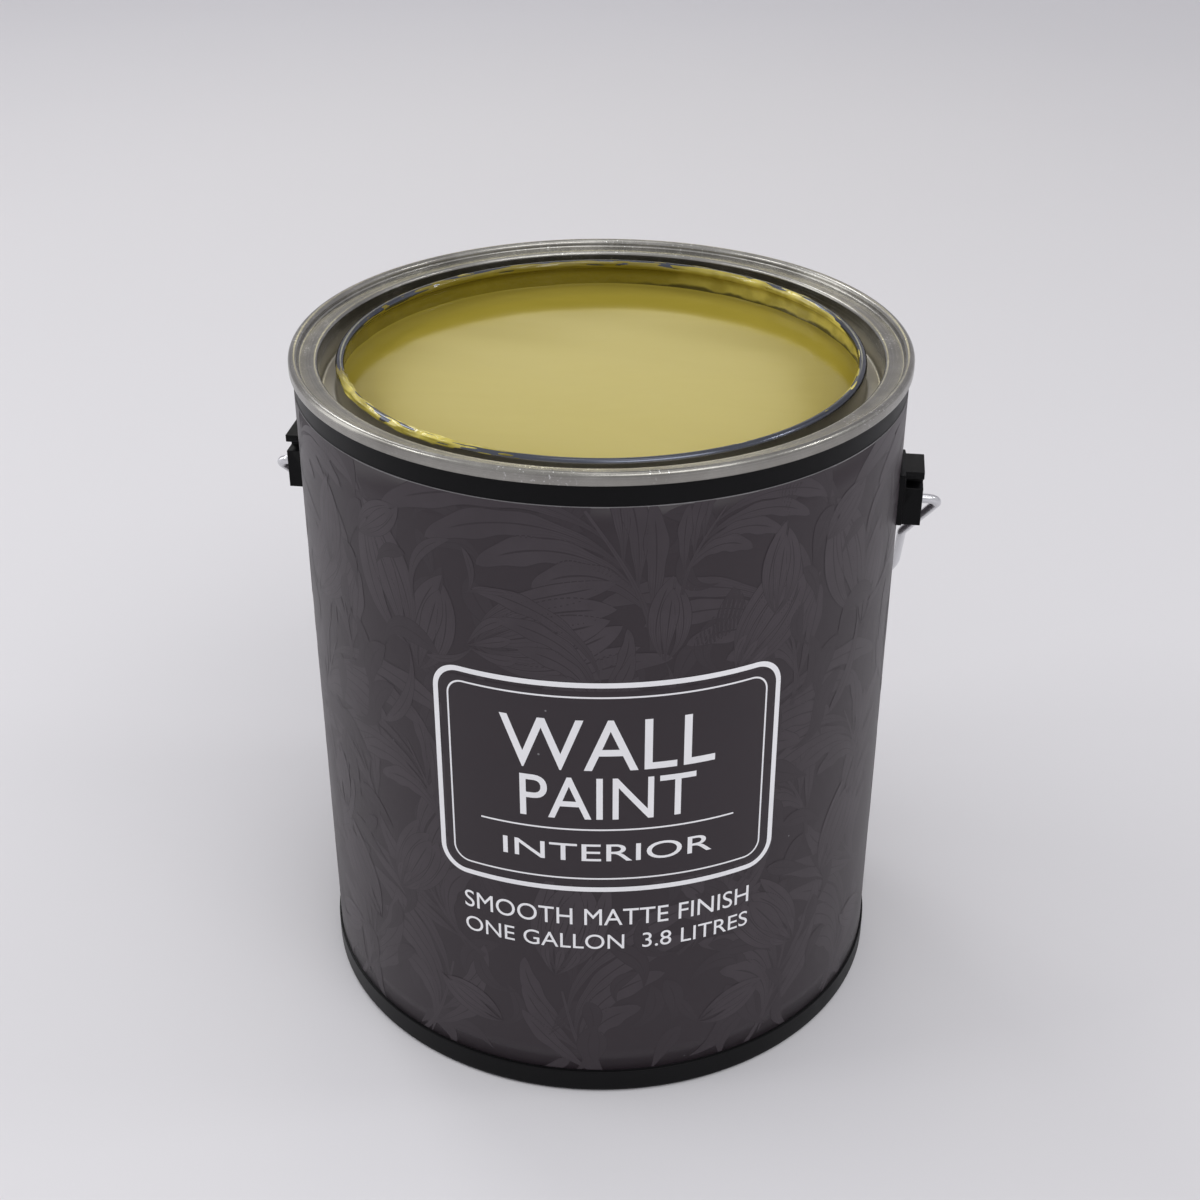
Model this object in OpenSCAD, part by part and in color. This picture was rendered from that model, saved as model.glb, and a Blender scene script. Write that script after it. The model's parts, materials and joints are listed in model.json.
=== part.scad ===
// Open one-gallon paint can: a moulded plastic body, a tinplate ring seamed on
// its mouth, a wire bail in two plastic ears, a paper label and the paint.
// Millimetres, +Z up. The origin is the centre of the foot, on the ground.
// The ears are on the X axis and the middle of the label's print faces -Y.

/* [Can] */
// Height over the seam
can_h = 195.3; // [185:0.1:205]
// Outer radius of the seam
seam_r = 84.15; // [84:0.05:84.4]
// Outer radius of the moulded wall
wall_r = 83; // [82.8:0.05:83]
// Thickness of the moulded wall
wall_t = 1.1; // [1:0.05:1.1]
// Thickness of the tinplate
tin_t = 0.3; // [0.25:0.05:0.35]

/* [Foot] */
// How far the foot band stands proud of the wall
foot_proud = 0.8; // [0.4:0.1:1.2]
// Height of the foot band
foot_h = 7.7; // [6:0.1:10]
// Width of the ring that the can stands on
foot_w = 2.8; // [2:0.1:4]
// Depth of the recess under the base
base_recess = 3.2; // [2:0.1:4]
// Thickness of the base
base_t = 1.6; // [1.2:0.1:2.5]

/* [Mouth ring] */
// Height of the seam's outer face
seam_h = 3.5; // [3.2:0.1:4]
// Depth of the flat shelf below the seam's top
shelf_drop = 2; // [1.6:0.1:2.3]
// Radius of the lid groove's outer wall
groove_r = 76.4; // [75.5:0.1:77]
// Width of the lid groove
groove_w = 4.6; // [4.4:0.1:5]
// Depth of the lid groove below the shelf
groove_depth = 9; // [8:0.1:9.5]
// Depth of the lip's top below the seam's top
lip_drop = 2.5; // [2.2:0.1:3]
// Radius of the lip's inward curl
curl_r = 1.2; // [1:0.05:1.3]

/* [Paint] */
// Depth of the paint's surface below the seam's top
paint_drop = 10.5; // [10:0.5:60]

/* [Label] */
// Height of the label's lower edge
label_z0 = 7.8; // [7.7:0.1:12]
// Height of the label's upper edge
label_z1 = 186.2; // [170:0.1:190]
// Thickness of the paper
label_t = 0.15; // [0.1:0.05:0.2]
// Width of the gap where the label's ends meet at the back
label_slit = 0.5; // [0.3:0.1:1]

/* [Ears] */
// Height of the bail's pivot
pivot_z = 153; // [145:0.5:155]
// Width of an ear's block, round the can
ear_w = 12.2; // [11:0.1:13]
// Distance of an ear's outer face from the can's axis
ear_x = 89.4; // [89:0.1:89.6]
// Height of the block that holds the bore
ear_block_h = 11.2; // [10:0.1:12]
// Height of the slot over the block
ear_slot_h = 2.7; // [2:0.1:3]
// Thickness of the cap over the slot
ear_cap_t = 2.1; // [1.5:0.1:2.2]
// Thickness of the web between the two halves of the slot
ear_web = 2.8; // [2:0.1:4]
// Thickness of the curved pad against the wall
pad_t = 1.7; // [1.2:0.1:1.8]
// How far the pad shows beside the block
pad_side = 2.4; // [1.5:0.1:4]

/* [Bail] */
// Diameter of the wire
wire_d = 2.6; // [2.4:0.1:2.8]
// Distance from the pivot to the middle of the bail
bail_depth = 120; // [112:0.5:124]
// Distance of the hook's outermost centre line from the can's axis
hook_x = 93.8; // [93.8:0.1:95]
// Half the distance between the legs' centre lines
leg_x = 86; // [86:0.1:86.4]
// Slant of each leg's first stretch
leg_slant = 16; // [14:0.5:18]
// Radius of the bend between hook and leg
hook_bend_r = 2.8; // [2.6:0.1:3]
// Radius of the elbow in the leg
elbow_r = 12; // [10:1:16]
// Radius of the shoulder bend
shoulder_r = 50; // [48:1:54]
// Angle that the shoulder turns through
shoulder_turn = 50; // [48:1:54]
// Radial clearance of the wire in its bore
bore_play = 0.06; // [0.03:0.01:0.1]
// Gap between the hanging wire and the label
hang_gap = 0.3; // [0.3:0.1:0.5]

/* [Hidden] */
$fn = 96;
ARC_STEP = 12;             // degrees between points on a profile's round stretches
FIT_GAP = 0.1;             // clearance of the paint from what holds it
in_r = wall_r - wall_t;
wire_r = wire_d / 2;

// Mouth ring, as the outer face of the sheet
seam_top_r = 1.3;
seam_hook_r = 0.55;
seam_mid_r = seam_r - seam_top_r;
seam_z0 = can_h - seam_h;
shelf_z = can_h - shelf_drop;
shelf_fillet = 0.5;
shelf_out_r = seam_r - 2 * seam_top_r;
groove_round = 1;
groove_z = shelf_z - groove_depth;
neck_r = groove_r - groove_w;
lip_z = can_h - lip_drop - curl_r;
lip_mid_r = neck_r - curl_r;
curl_end = 290;

// Flange of the body, inside the seam
flange_head_r = 0.85;
flange_head_z = can_h - 1.65;
flange_z0 = seam_z0 + 0.8;
gasket_gap = 0.02;
gasket_half_angle = 60;

// Base
foot_r = wall_r + foot_proud;
foot_round = 1.4;
foot_in_r = foot_r - foot_round - foot_w;
floor_z = base_recess + base_t;
floor_fillet = 2.5;
base_step = 0.6;
base_step_r = 60;
gate_r = 4;

paint_z = can_h - paint_drop;
under_groove_z = groove_z - tin_t - 0.3;

// Ears
ear_z0 = pivot_z - 5.4;
ear_z1 = ear_z0 + ear_block_h + ear_slot_h + ear_cap_t;
pad_w = ear_w + 2 * pad_side;
pad_r = wall_r + pad_t;
pad_z0 = ear_z0 + 0.8;
label_r = wall_r + label_t;
window_gap = 0.3;
bore_x0 = pad_r + 0.2;
pin_x0 = bore_x0 + 0.3;

// Bail: the crown arc closes the curve between the two shoulders
crown_half = 90 - shoulder_turn;
crown_r = shoulder_r + (leg_x - shoulder_r) / cos(shoulder_turn);
shoulder_s = bail_depth - crown_r - (shoulder_r - crown_r) * sin(shoulder_turn);
leg_start = [hook_x - hook_bend_r * (1 - cos(leg_slant)), hook_bend_r * (1 + sin(leg_slant))];
leg_l = (leg_start.x - elbow_r * (1 - cos(leg_slant)) - leg_x) / sin(leg_slant);
elbow_end_s = leg_start.y + leg_l * cos(leg_slant) + elbow_r * sin(leg_slant);
wire_lap = 0.02;           // overlap of neighbouring stretches
wire_seat = 0.005;         // how much thinner a bend is than the straight that laps it
crown_lap = 0.02;          // the crown's overlap with each shoulder, in degrees
hang = acos((label_r + wire_r + hang_gap) / bail_depth);

// Points on a circle about c, from angle a0 to a1
function arc(c, r, a0, a1) =
    let (n = max(2, ceil(abs(a1 - a0) / ARC_STEP)))
    [for (i = [0:n]) let (a = a0 + (a1 - a0) * i / n) c + r * [cos(a), sin(a)]];

function unit(v) = v / norm(v);
function left_of(v) = [-v.y, v.x];

// Direction of a path at its point i, halfway between the two stretches that meet there
function path_dir(p, i) =
    unit((i == len(p) - 1 ? [0, 0] : unit(p[i + 1] - p[i])) + (i == 0 ? [0, 0] : unit(p[i] - p[i - 1])));

// Point i moved to the left of the path by t, along the mitre
function mitred(p, i, t) =
    let (d = path_dir(p, i), e = i == 0 ? unit(p[1] - p[0]) : unit(p[i] - p[i - 1]))
    p[i] + left_of(d) * t / (d * e);

// Closed outline of a sheet of thickness t whose right-hand face is the path
function sheet(p, t) = concat(p, [for (i = [len(p) - 1:-1:0]) mitred(p, i, t)]);

// Outer face of the ring's sheet, from the hook under the seam to the end of the lip's curl
function ring_path() = concat(
    arc([seam_r - seam_hook_r, seam_z0 + seam_hook_r], seam_hook_r, -170, 0),
    arc([seam_mid_r, can_h - seam_top_r], seam_top_r, 0, 180),
    arc([shelf_out_r - shelf_fillet, shelf_z + shelf_fillet], shelf_fillet, 0, -90),
    arc([groove_r + groove_round, shelf_z - groove_round], groove_round, 90, 180),
    arc([groove_r - groove_round, groove_z + groove_round], groove_round, 0, -90),
    arc([neck_r + groove_round, groove_z + groove_round], groove_round, -90, -180),
    arc([lip_mid_r, lip_z], curl_r, 0, curl_end));

// Moulded body with its flange, foot band and recessed base
module body_shell() {
    color([0.09, 0.09, 0.1])
    rotate_extrude()
    polygon(concat(
        [[0, floor_z]],
        arc([in_r - floor_fillet, floor_z + floor_fillet], floor_fillet, -90, 0),
        arc([seam_mid_r, flange_head_z], flange_head_r, 180, 0),
        [[seam_mid_r + flange_head_r, flange_z0], [wall_r, flange_z0],
         [wall_r, foot_h], [foot_r, foot_h - 0.5 * foot_proud]],
        arc([foot_r - foot_round, foot_round], foot_round, 0, -90),
        [[foot_in_r, 0], [foot_in_r - 0.5, 0.6], [foot_in_r - 0.8, base_recess],
         [base_step_r, base_recess], [base_step_r - 1, base_recess - base_step],
         [gate_r, base_recess - base_step], [gate_r, base_recess], [0, base_recess]]));
}

// Tinplate ring: seam, shelf, lid groove, neck and curled lip
module top_ring() {
    color([0.72, 0.71, 0.68])
    rotate_extrude()
    polygon(sheet(ring_path(), tin_t));
}

// Sealing compound between the body's flange and the ring's seam
module seam_gasket() {
    color([0.3, 0.32, 0.3])
    rotate_extrude()
    polygon(concat(
        arc([seam_mid_r, can_h - seam_top_r], seam_top_r - tin_t - gasket_gap,
            90 + gasket_half_angle, 90 - gasket_half_angle),
        arc([seam_mid_r, flange_head_z], flange_head_r + gasket_gap,
            90 - gasket_half_angle, 90 + gasket_half_angle)));
}

// Block, slotted cap and curved pad of one ear, on the +X side
module ear() {
    color([0.06, 0.06, 0.065])
    difference() {
        union() {
            intersection() {
                translate([0, 0, pad_z0]) cylinder(r = pad_r, h = ear_z1 - pad_z0);
                translate([wall_r / 2, -pad_w / 2, pad_z0]) cube([wall_r, pad_w, ear_z1 - pad_z0]);
            }
            translate([wall_r - 1, -ear_w / 2, ear_z0]) cube([ear_x - wall_r + 1, ear_w, ear_z1 - ear_z0]);
        }
        translate([0, 0, ear_z0 - 1]) cylinder(r = wall_r, h = ear_z1 - ear_z0 + 2);
        for (side = [-1, 1])
            translate([pad_r, side * (ear_web + ear_w) / 2 - ear_w / 2, ear_z0 + ear_block_h])
            cube([ear_w, ear_w, ear_slot_h]);
        translate([bore_x0, 0, pivot_z]) rotate([0, 90, 0])
        cylinder(r = wire_r + bore_play, h = ear_x - bore_x0 + 1);
    }
}

module ear_right() ear();

module ear_left() mirror([1, 0, 0]) ear();

// Straight wire of length l, starting at p and leaving at the angle a from the X axis.
// It laps a little over the bend at each end, so that they join as one wire.
module wire_line(p, a, l)
    translate(p) rotate([0, 0, a]) translate([-wire_lap, 0, 0]) rotate([0, 90, 0])
    cylinder(r = wire_r, h = l + 2 * wire_lap);

// Bent wire of radius wr round c, from the angle a0 through the angle turn
module wire_bend(c, r, a0, turn, wr = wire_r - wire_seat)
    translate(c) rotate([0, 0, a0]) rotate_extrude(angle = turn) translate([r, 0]) circle(r = wr);

// One side of the bail, flat in the XY plane with the pivot on the X axis
module bail_side() {
    wire_line([pin_x0, 0], 0, hook_x - hook_bend_r - pin_x0);
    wire_bend([hook_x - hook_bend_r, hook_bend_r], hook_bend_r, -90, 90 + leg_slant);
    wire_line(leg_start, 90 + leg_slant, leg_l);
    wire_bend([leg_x + elbow_r, elbow_end_s], elbow_r, 180, leg_slant);
    wire_line([leg_x, elbow_end_s], 90, shoulder_s - elbow_end_s);
    wire_bend([leg_x - shoulder_r, shoulder_s], shoulder_r, 0, shoulder_turn);
}

// Wire bail, hanging at the back of the can
module bail_wire() {
    color([0.75, 0.75, 0.77])
    translate([0, 0, pivot_z]) rotate([-hang, 0, 0])
    union() {
        bail_side();
        mirror([1, 0, 0]) bail_side();
        wire_bend([0, bail_depth - crown_r], crown_r, 90 - crown_half - crown_lap,
                  2 * (crown_half + crown_lap), wire_r - 2 * wire_seat);
    }
}

// Paper label, with a window round each ear and a slit where its ends meet
module wrap_label() {
    color([0.23, 0.21, 0.23])
    difference() {
        translate([0, 0, label_z0]) rotate_extrude()
            translate([wall_r, 0]) square([label_t, label_z1 - label_z0]);
        for (side = [-1, 1])
            translate([side * wall_r - ear_w, -pad_w / 2 - window_gap, ear_z0 - window_gap])
            cube([2 * ear_w, pad_w + 2 * window_gap, ear_z1 - ear_z0 + 2 * window_gap]);
        translate([-label_slit / 2, wall_r - 1, label_z0 - 1])
        cube([label_slit, 2, label_z1 - label_z0 + 2]);
    }
}

// Paint, filling the can to just above the neck's lower end
module paint() {
    color([0.74, 0.68, 0.45])
    rotate_extrude()
    polygon([
        [0, floor_z + FIT_GAP], [in_r - floor_fillet, floor_z + FIT_GAP],
        [in_r - FIT_GAP, floor_z + floor_fillet], [in_r - FIT_GAP, min(paint_z, under_groove_z)],
        [neck_r - tin_t - 2 * FIT_GAP, min(paint_z, under_groove_z)],
        [neck_r - tin_t - 2 * FIT_GAP, paint_z], [0, paint_z]]);
}

body_shell();
top_ring();
seam_gasket();
ear_left();
ear_right();
bail_wire();
wrap_label();
paint();
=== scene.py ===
"""An open one-gallon paint can: moulded body, tinplate ring, bail, printed label and wet paint.

Shapes are worked out in millimetres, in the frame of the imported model, and turned to metres
when they become meshes. Angles about the can's axis are counted from +X towards +Y.
"""
import json
import math

import bmesh
import bpy
import numpy as np
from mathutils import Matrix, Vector


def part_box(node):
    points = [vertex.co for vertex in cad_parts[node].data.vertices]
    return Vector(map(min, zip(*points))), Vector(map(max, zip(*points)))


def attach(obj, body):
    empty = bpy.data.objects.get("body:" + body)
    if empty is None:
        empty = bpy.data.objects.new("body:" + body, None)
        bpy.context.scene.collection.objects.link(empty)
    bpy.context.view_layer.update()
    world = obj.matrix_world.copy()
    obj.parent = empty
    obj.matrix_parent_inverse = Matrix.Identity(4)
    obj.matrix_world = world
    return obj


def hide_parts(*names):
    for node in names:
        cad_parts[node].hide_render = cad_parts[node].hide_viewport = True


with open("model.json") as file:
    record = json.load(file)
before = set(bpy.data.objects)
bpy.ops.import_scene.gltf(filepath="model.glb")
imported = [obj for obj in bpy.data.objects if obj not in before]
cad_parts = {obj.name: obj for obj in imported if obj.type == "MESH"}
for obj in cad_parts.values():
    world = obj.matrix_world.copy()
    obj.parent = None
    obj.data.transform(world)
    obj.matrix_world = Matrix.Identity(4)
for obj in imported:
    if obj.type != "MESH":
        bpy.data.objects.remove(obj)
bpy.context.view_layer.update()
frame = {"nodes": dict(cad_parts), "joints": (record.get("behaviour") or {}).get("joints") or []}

MM = 0.001
TAU = 2 * math.pi


# ---------------------------------------------------------------- sizes, from the frame

def corners(node):
    """Lowest and highest corner of a CAD node, in millimetres."""
    low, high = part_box(node)
    return np.array(low) / MM, np.array(high) / MM


_, ring_high = corners("top_ring")
_, wire_high = corners("bail_wire")
label_low, label_high = corners("wrap_label")
ear_low, ear_high = corners("ear_right")
paint_low, paint_high = corners("paint")

CAN_H = ring_high[2]
SEAM_R = 84.14                   # outer radius of the ring's seam, just inside the CAD's
WALL_R = 83.0                    # outer radius of the moulded wall
WALL_T = 1.1
FOOT_R = 83.8
LABEL_R = 83.15                  # outer radius of the paper
LABEL_HALF_SLIT = 0.12           # half of the gap where the paper's ends meet
TIN_T = 0.3

PIVOT_Z = frame["joints"][0]["pos_m"][2] / MM
WIRE_R = 1.3
HOOK_X = wire_high[0] - WIRE_R   # how far out the wire's centre line reaches
BAIL_DEPTH = 120.0               # from the pivot to the middle of the crown

SEAM_TOP_R = 1.3                 # rounding of the seam's top
SEAM_MID_R = SEAM_R - SEAM_TOP_R
SEAM_Z0 = CAN_H - 3.5            # lower edge of the seam
SHELF_Z = CAN_H - 2.0            # flat shelf between the seam and the lid groove
GROOVE_R = 76.4                  # outer wall of the lid groove
GROOVE_Z = SHELF_Z - 9.0         # floor of the lid groove
NECK_R = 71.8                    # inner wall of the lid groove, which is the neck
CURL_R = 1.2                     # inward curl of the lip
LIP_R = NECK_R - CURL_R
LIP_Z = CAN_H - 2.5 - CURL_R     # centre of the curl
PAINT_Z = paint_high[2]

FRONT = math.radians(-80.9)      # angle of the middle of the label's print
VIEW_TURN = math.radians(7.9)    # how far the can is turned from square to the camera
ROUND = 384                      # steps round the can


# ---------------------------------------------------------------- meshes from arrays

def mesh_object(name, points, faces, uvs):
    """A smooth piece from points in millimetres and lists of corners; uvs has one row per corner."""
    mesh = bpy.data.meshes.new(name)
    mesh.from_pydata((points * MM).tolist(), [], faces)
    layer = mesh.uv_layers.new(name="UVMap")
    layer.data.foreach_set("uv", np.ascontiguousarray(uvs, np.float32).ravel())
    mesh.polygons.foreach_set("use_smooth", np.full(len(mesh.polygons), True))
    mesh.update()
    piece = bpy.data.objects.new(name, mesh)
    bpy.context.scene.collection.objects.link(piece)
    return piece


def grid_faces(nu, nv, closed_u=False, closed_v=False):
    """Quads of a grid whose point (i, j) is number i * nv + j, with each quad's lower step in i
    and in j."""
    i = np.arange(nu if closed_u else nu - 1)
    j = np.arange(nv if closed_v else nv - 1)
    i, j = [a.ravel() for a in np.meshgrid(i, j, indexing="ij")]
    a, b = (i + 1) % nu, (j + 1) % nv
    return np.stack([i * nv + j, a * nv + j, a * nv + b, i * nv + b], 1), i, j


def corner_uvs(u, v, i, j):
    """UV of the four corners of each quad, from the UV values of the grid lines."""
    return np.stack([np.stack([u[i], v[j]], 1), np.stack([u[i + 1], v[j]], 1),
                     np.stack([u[i + 1], v[j + 1]], 1), np.stack([u[i], v[j + 1]], 1)], 1)


def surface(name, points, closed_u=False, closed_v=False, pole_first=False, pole_last=False,
            u=None, v=None, keep=None):
    """A grid of points (i, j). With a pole, all points of the first or last j are one vertex.
    u and v are the UV values of the grid lines, one more than the points on a closed side.
    keep is an optional true or false for each quad."""
    nu, nv = points.shape[:2]
    quads, i, j = grid_faces(nu, nv, closed_u, closed_v)
    u = np.linspace(0, 1, nu + closed_u) if u is None else u
    v = np.linspace(0, 1, nv + closed_v) if v is None else v
    uvs = corner_uvs(u, v, i, j)
    if keep is not None:
        quads, uvs = quads[keep(i, j)], uvs[keep(i, j)]
    flat = points.reshape(-1, 3)
    number = np.arange(nu * nv)
    if pole_first:
        number[0::nv] = 0
    if pole_last:
        number[nv - 1::nv] = nv - 1
    used = np.zeros(nu * nv, bool)
    used[number[quads]] = True
    renumber = np.cumsum(used) - 1
    faces, face_uvs = [], []
    for quad, uv in zip(renumber[number[quads]].tolist(), uvs.tolist()):
        ring = [k for k in range(4) if quad[k] != quad[k - 1]]
        faces.append([quad[k] for k in ring])
        face_uvs.extend(uv[k] for k in ring)
    return mesh_object(name, flat[used], faces, np.array(face_uvs))


def arc(centre, radius, a0, a1, step=7.5):
    """Points on a circle about centre from a0 to a1 degrees."""
    a = np.radians(np.linspace(a0, a1, max(3, int(abs(a1 - a0) / step) + 2)))
    return np.stack([centre[0] + radius * np.cos(a), centre[1] + radius * np.sin(a)], 1)


def line(*points, step=None):
    """Straight stretches through the points, cut into pieces no longer than step."""
    out = []
    for a, b in zip(points[:-1], points[1:]):
        a, b = np.array(a, float), np.array(b, float)
        n = 1 if step is None else max(1, int(np.linalg.norm(b - a) / step))
        out.append(a + (b - a) * (np.arange(n) / n)[:, None])
    return np.concatenate(out + [np.array([points[-1]], float)])


def lengths(path):
    """Distance along a path to each of its points."""
    return np.concatenate([[0], np.cumsum(np.linalg.norm(np.diff(path, axis=0), axis=1))])


def directions(path):
    """Unit vectors along a path, halfway between the stretches at each point."""
    d = np.gradient(path, axis=0)
    return d / np.maximum(np.linalg.norm(d, axis=1), 1e-9)[:, None]


def normals_right(path):
    """Unit vectors to the right of a flat path."""
    d = directions(path)
    return np.stack([d[:, 1], -d[:, 0]], 1)


def spin(profile, angles):
    """Points (angle, step, xyz) of a profile of (radius, height) carried round the can's axis."""
    r, z = profile[:, 0], profile[:, 1]
    return np.stack([np.cos(angles)[:, None] * r, np.sin(angles)[:, None] * r,
                     np.broadcast_to(z, (len(angles), len(z)))], 2)


def soft_noise(rng, nu, nv, blur_u, blur_v):
    """Random field with mean 0 and spread 1: white noise blurred by Gaussians, wrapping round."""
    fu, fv = np.fft.fftfreq(nu)[:, None], np.fft.fftfreq(nv)[None, :]
    blur = np.exp(-2 * (math.pi * fu * blur_u) ** 2 - 2 * (math.pi * fv * blur_v) ** 2)
    field = np.fft.ifft2(np.fft.fft2(rng.standard_normal((nu, nv))) * blur).real
    return (field - field.mean()) / field.std()


def smoothstep(low, high, x):
    """0 below low, 1 above high, and a smooth rise between."""
    t = np.clip((x - low) / (high - low), 0, 1)
    return t * t * (3 - 2 * t)


def around(angle, centre, half_width, soft):
    """1 within half_width degrees of centre, falling to 0 over soft degrees; angle in radians."""
    away = np.abs((np.degrees(angle) - centre + 180) % 360 - 180)
    return 1 - smoothstep(half_width, half_width + soft, away)


ANGLES = np.arange(ROUND) * TAU / ROUND


# ---------------------------------------------------------------- shader arithmetic

class Val:
    """A shader value that takes part in arithmetic; each operator adds one Math node."""

    def __init__(self, shader, socket):
        self.shader, self.socket = shader, socket

    def math(self, operation, *others):
        return self.shader.node("ShaderNodeMath", {"operation": operation},
                                dict(enumerate((self,) + others)))

    def __add__(self, other):
        return self.math("ADD", other)

    def __sub__(self, other):
        return self.math("SUBTRACT", other)

    def __rsub__(self, other):
        return self.shader.node("ShaderNodeMath", {"operation": "SUBTRACT"}, {0: other, 1: self})

    def __mul__(self, other):
        return self.math("MULTIPLY", other)

    __radd__ = __add__
    __rmul__ = __mul__

    def abs(self):
        return self.math("ABSOLUTE")

    def sin(self):
        return self.math("SINE")

    def power(self, exponent):
        return self.math("POWER", exponent)

    def at_least(self, other):
        return self.math("MAXIMUM", other)

    def step(self, low, high, start=0.0, end=1.0):
        """start below low, end above high, and a smooth change between."""
        return self.shader.node("ShaderNodeMapRange", {"interpolation_type": "SMOOTHSTEP"},
                                {0: self, 1: low, 2: high, 3: start, 4: end})


class Shader:
    """One node material. node() adds a node and gives the value of one of its outputs."""

    def __init__(self, name):
        self.material = bpy.data.materials.new(name)
        self.material.use_nodes = True
        self.tree = self.material.node_tree
        self.tree.nodes.clear()

    def node(self, kind, settings=None, sockets=None, output=0):
        made = self.tree.nodes.new(kind)
        for key, value in (settings or {}).items():
            setattr(made, key, value)
        for key, value in (sockets or {}).items():
            if isinstance(value, Val):
                self.tree.links.new(value.socket, made.inputs[key])
            else:
                made.inputs[key].default_value = value
        return Val(self, made.outputs[output])

    def place(self):
        """Object coordinates, in metres."""
        return self.node("ShaderNodeTexCoord", output=3)

    def uv(self):
        """The piece's own UV map."""
        return self.node("ShaderNodeTexCoord", output=2)

    def parts(self, vector):
        """The three components of a vector."""
        split = self.node("ShaderNodeSeparateXYZ", None, {0: vector})
        outs = split.socket.node.outputs
        return [Val(self, outs[k]) for k in range(3)]

    def stretched(self, vector, scale):
        return self.node("ShaderNodeMapping", None, {"Vector": vector, "Scale": scale})

    def noise(self, vector, scale, detail=3.0, rough=0.5, distortion=0.0):
        return self.node("ShaderNodeTexNoise", None,
                         {"Vector": vector, "Scale": scale, "Detail": detail, "Roughness": rough,
                          "Distortion": distortion})

    def mix(self, factor, a, b):
        """Colour a where factor is 0, and b where it is 1."""
        a, b = [c if isinstance(c, Val) else (*c, 1) for c in (a, b)]
        return self.node("ShaderNodeMix", {"data_type": "RGBA"}, {0: factor, 6: a, 7: b}, output=2)

    def bump(self, height, distance, strength=1.0):
        return self.node("ShaderNodeBump", None,
                         {"Strength": strength, "Distance": distance, "Height": height})

    def finish(self, **sockets):
        """Sets the surface. Socket names have underscores for spaces; three numbers are a colour."""
        values = {}
        for key, value in sockets.items():
            values[key.replace("_", " ")] = (*value, 1) if isinstance(value, tuple) else value
        bsdf = self.node("ShaderNodeBsdfPrincipled", None, values)
        out = self.tree.nodes.new("ShaderNodeOutputMaterial")
        self.tree.links.new(bsdf.socket, out.inputs["Surface"])
        return self.material


# ---------------------------------------------------------------- materials

def moulded_plastic():
    """Black polypropylene: fine spark-eroded grain, faint handling marks."""
    s = Shader("moulded_plastic")
    p = s.place()
    grain = s.noise(p, 2600.0, 2.0, 0.6)
    marks = s.noise(p, 35.0, 4.0, 0.6).step(0.45, 0.7)
    black, handled = (0.0016, 0.0016, 0.0020), (0.0038, 0.0038, 0.0044)
    return s.finish(Base_Color=s.mix(marks * 0.5, black, handled),
                    Roughness=0.38 + marks * 0.08 + grain * 0.04,
                    Normal=s.bump(grain, 0.00003, 0.5), Specular_IOR_Level=0.13)


def tinplate(groove, lip):
    """Dull tinplate: spinning lines round the ring, clouded by handling, with a painted shade on the
    seam's outer flank, a painted light in the groove, and a dark grey-blue band on the lip's curl
    that is lacquer and a painted dark reflection. groove and lip are ranges of V, which is the
    distance along the profile in 100 mm."""
    s = Shader("tinplate")
    uv = s.uv()
    p = s.place()
    _, v, _ = s.parts(uv)
    lines = s.noise(s.stretched(uv, (14.0, 900.0, 1.0)), 1.0, 4.0, 0.65)
    rings = s.noise(s.stretched(uv, (2.0, 160.0, 1.0)), 1.0, 3.0, 0.6)
    cloud = s.noise(p, 60.0, 4.0, 0.6)
    specks = s.noise(p, 1400.0, 2.0, 0.5).step(0.62, 0.70) * s.noise(p, 45.0, 2.0).step(0.50, 0.62)
    # painted shade: the seam's outer flank is darkened in colour
    flank_painted_shade = v.step(0.030, 0.042, 0.35, 0.0)
    # painted light: the groove's tone is brightened, standing in for light reflected down into it
    groove_painted_light = v.step(groove[0], groove[0] + 0.03) * v.step(lip[0], lip[0] + 0.006, 1.0, 0.0)
    # lacquer and a painted dark reflection: a dark grey-blue band over the lip's curl
    lacquer_and_dark_reflection = v.step(lip[0] + 0.002, lip[0] + 0.006) * v.step(lip[1] - 0.002, lip[1], 1.0, 0.0)
    handling = (cloud * 0.6 + rings * 0.4).step(0.30, 0.70)
    tone = s.mix(handling, (0.235, 0.227, 0.207), (0.41, 0.40, 0.37))
    tone = s.mix(specks * 0.8, tone, (0.80, 0.80, 0.78))
    tone = s.mix(groove_painted_light * 0.9, tone, (0.55, 0.525, 0.45))
    tone = s.mix(flank_painted_shade, tone, (0.210, 0.200, 0.185))
    tone = s.mix(lacquer_and_dark_reflection * 0.88, tone, (0.070, 0.080, 0.110))
    rough = 0.17 + cloud * 0.08 + lines * 0.10 + groove_painted_light * 0.08 - lacquer_and_dark_reflection * 0.08
    return s.finish(Base_Color=tone, Metallic=1.0, Roughness=rough,
                    Normal=s.bump(lines, 0.00002, 0.5))


def zinc_wire():
    """Zinc-plated wire: drawn lines along it and a soft, uneven shine."""
    s = Shader("zinc_wire")
    uv = s.uv()
    lines = s.noise(s.stretched(uv, (3.0, 40.0, 1.0)), 1.0, 3.0)
    cloud = s.noise(s.place(), 150.0, 3.0)
    return s.finish(Base_Color=s.mix(cloud, (0.58, 0.58, 0.60), (0.76, 0.76, 0.78)), Metallic=1.0,
                    Roughness=0.16 + cloud * 0.12 + lines * 0.06,
                    Normal=s.bump(lines, 0.00001, 0.4))


GROUND = (0.0262, 0.0190, 0.0238)         # colour of the label between its prints
PAPER_SHINE = 0.34                        # specular level of the coated paper and its prints


def paper_ground(s, p):
    """Colour, roughness and bump of the label's coated paper, before its print."""
    cloud = s.noise(p, 26.0, 5.0, 0.6)
    fibre = s.noise(p, 1500.0, 3.0, 0.6)
    colour = s.mix(cloud, tuple(0.90 * c for c in GROUND), tuple(1.12 * c for c in GROUND))
    return colour, 0.36 + cloud * 0.06 + fibre * 0.05, s.bump(fibre, 0.00002, 0.35)


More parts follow.
